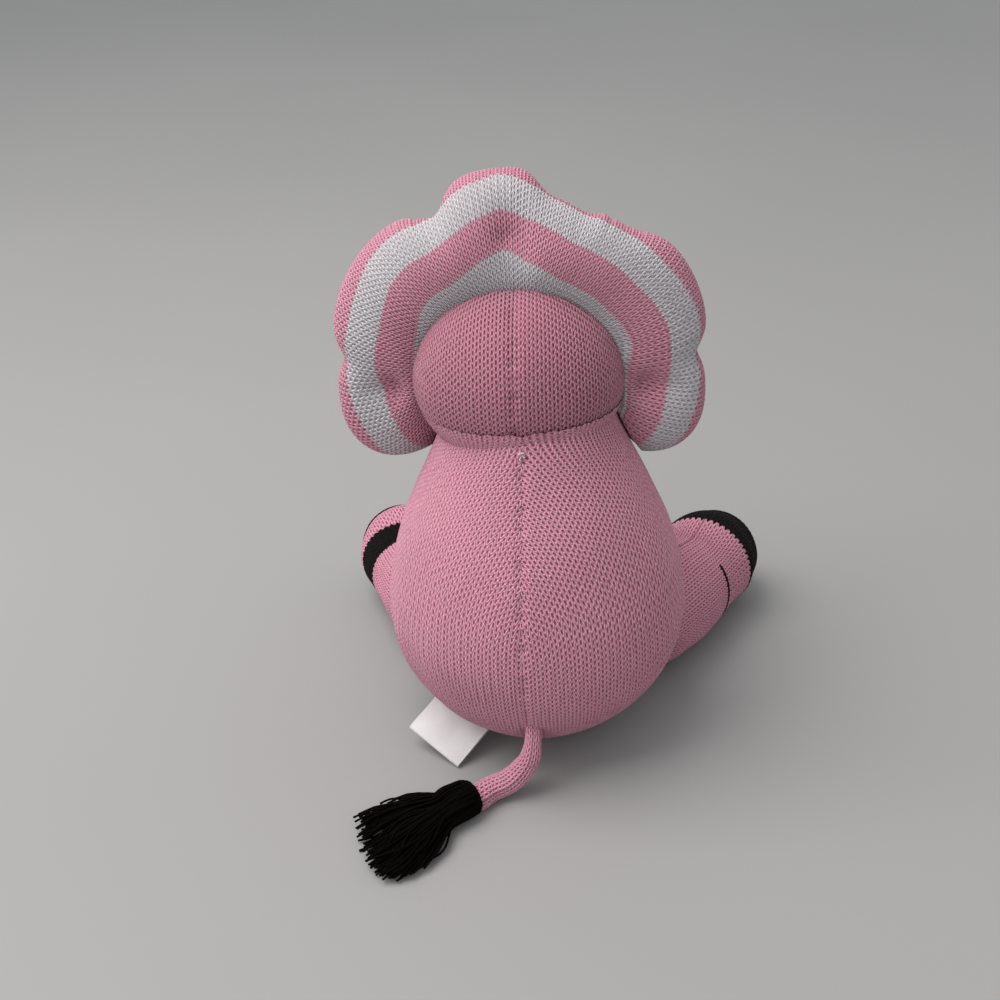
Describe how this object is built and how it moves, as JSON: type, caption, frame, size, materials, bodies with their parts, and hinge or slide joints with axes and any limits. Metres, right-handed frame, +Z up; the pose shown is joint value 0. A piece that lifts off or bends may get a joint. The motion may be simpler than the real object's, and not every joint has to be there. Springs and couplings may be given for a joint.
{
  "type": "plush lion",
  "caption": "Seated knitted plush lion with a round head in a scalloped striped mane, forward legs, short arms and a tasselled tail.",
  "frame": {"origin": "middle of the flat seat, on the surface that the lion sits on", "axes": "+Z up, -Y the way the lion faces, +X its left side"},
  "size_m": [0.142, 0.1606, 0.1715],
  "materials": {
    "pink_knit": "stocking-stitch knit in a dusty pink cotton yarn",
    "striped_knit": "stocking-stitch knit in pink and white stripes",
    "white_yarn": "off-white yarn",
    "dark_yarn": "near-black brown yarn",
    "fibre": "loose polyester fibre filling",
    "satin_ribbon": "woven satin ribbon, left bare"
  },
  "bodies": {
    "torso": {"body_cover": "pink_knit", "body_filling": "fibre", "back_seam_knot": "white_yarn"},
    "neck": {"neck_thread": "pink_knit"},
    "head": {"head_cover": "pink_knit", "head_filling": "fibre", "mane_cover": "striped_knit", "mane_filling": "fibre", "muzzle": "white_yarn", "nose": "dark_yarn", "mouth": "dark_yarn", "left_eye": "dark_yarn", "right_eye": "dark_yarn", "left_ear": "pink_knit", "right_ear": "pink_knit"},
    "left_leg": {"left_leg_cover": "pink_knit", "left_leg_filling": "fibre"},
    "right_leg": {"right_leg_cover": "pink_knit", "right_leg_filling": "fibre"},
    "left_arm": {"left_arm_cover": "pink_knit", "left_arm_filling": "fibre"},
    "right_arm": {"right_arm_cover": "pink_knit", "right_arm_filling": "fibre"},
    "tail": {"tail": "pink_knit"},
    "tassel": {"tassel": "dark_yarn"},
    "label": {"label": "satin_ribbon"}
  },
  "joints": [
    {"name": "head_turn", "type": "hinge", "parent": "torso", "child": "neck", "pos_m": [0.003, -0.0025, 0.1165], "axis": [0, 0, 1], "range_deg": [-20, 20]},
    {"name": "head_nod", "type": "hinge", "parent": "neck", "child": "head", "pos_m": [0.003, -0.0025, 0.1165], "axis": [0.9986, 0.0523, 0], "range_deg": [-12, 3]},
    {"name": "left_hip", "type": "hinge", "parent": "torso", "child": "left_leg", "pos_m": [0.03313, -0.02588, 0.017], "axis": [-0.8746, -0.4848, 0], "range_deg": [-8, 18]},
    {"name": "right_hip", "type": "hinge", "parent": "torso", "child": "right_leg", "pos_m": [-0.03313, -0.02588, 0.017], "axis": [-0.8746, 0.4848, 0], "range_deg": [-8, 18]},
    {"name": "left_shoulder", "type": "hinge", "parent": "torso", "child": "left_arm", "pos_m": [0.0213, -0.03842, 0.064], "axis": [-0.8746, -0.4848, 0], "range_deg": [0, 28]},
    {"name": "right_shoulder", "type": "hinge", "parent": "torso", "child": "right_arm", "pos_m": [-0.0213, -0.03842, 0.064], "axis": [-0.8746, 0.4848, 0], "range_deg": [0, 28]},
    {"name": "tail_swing", "type": "hinge", "parent": "torso", "child": "tail", "pos_m": [0, 0.03855, 0.022], "axis": [0, 0, 1], "range_deg": [-5, 80]},
    {"name": "tassel_swing", "type": "hinge", "parent": "tail", "child": "tassel", "pos_m": [0.0142, 0.04855, 0.00355], "axis": [0, 0, 1], "range_deg": [-20, 20]},
    {"name": "label_bend", "type": "hinge", "parent": "torso", "child": "label", "pos_m": [0.02242, 0.01881, 0.011], "axis": [-0.8058, 0.5095, -0.302], "range_deg": [-8, 0]}
  ]
}
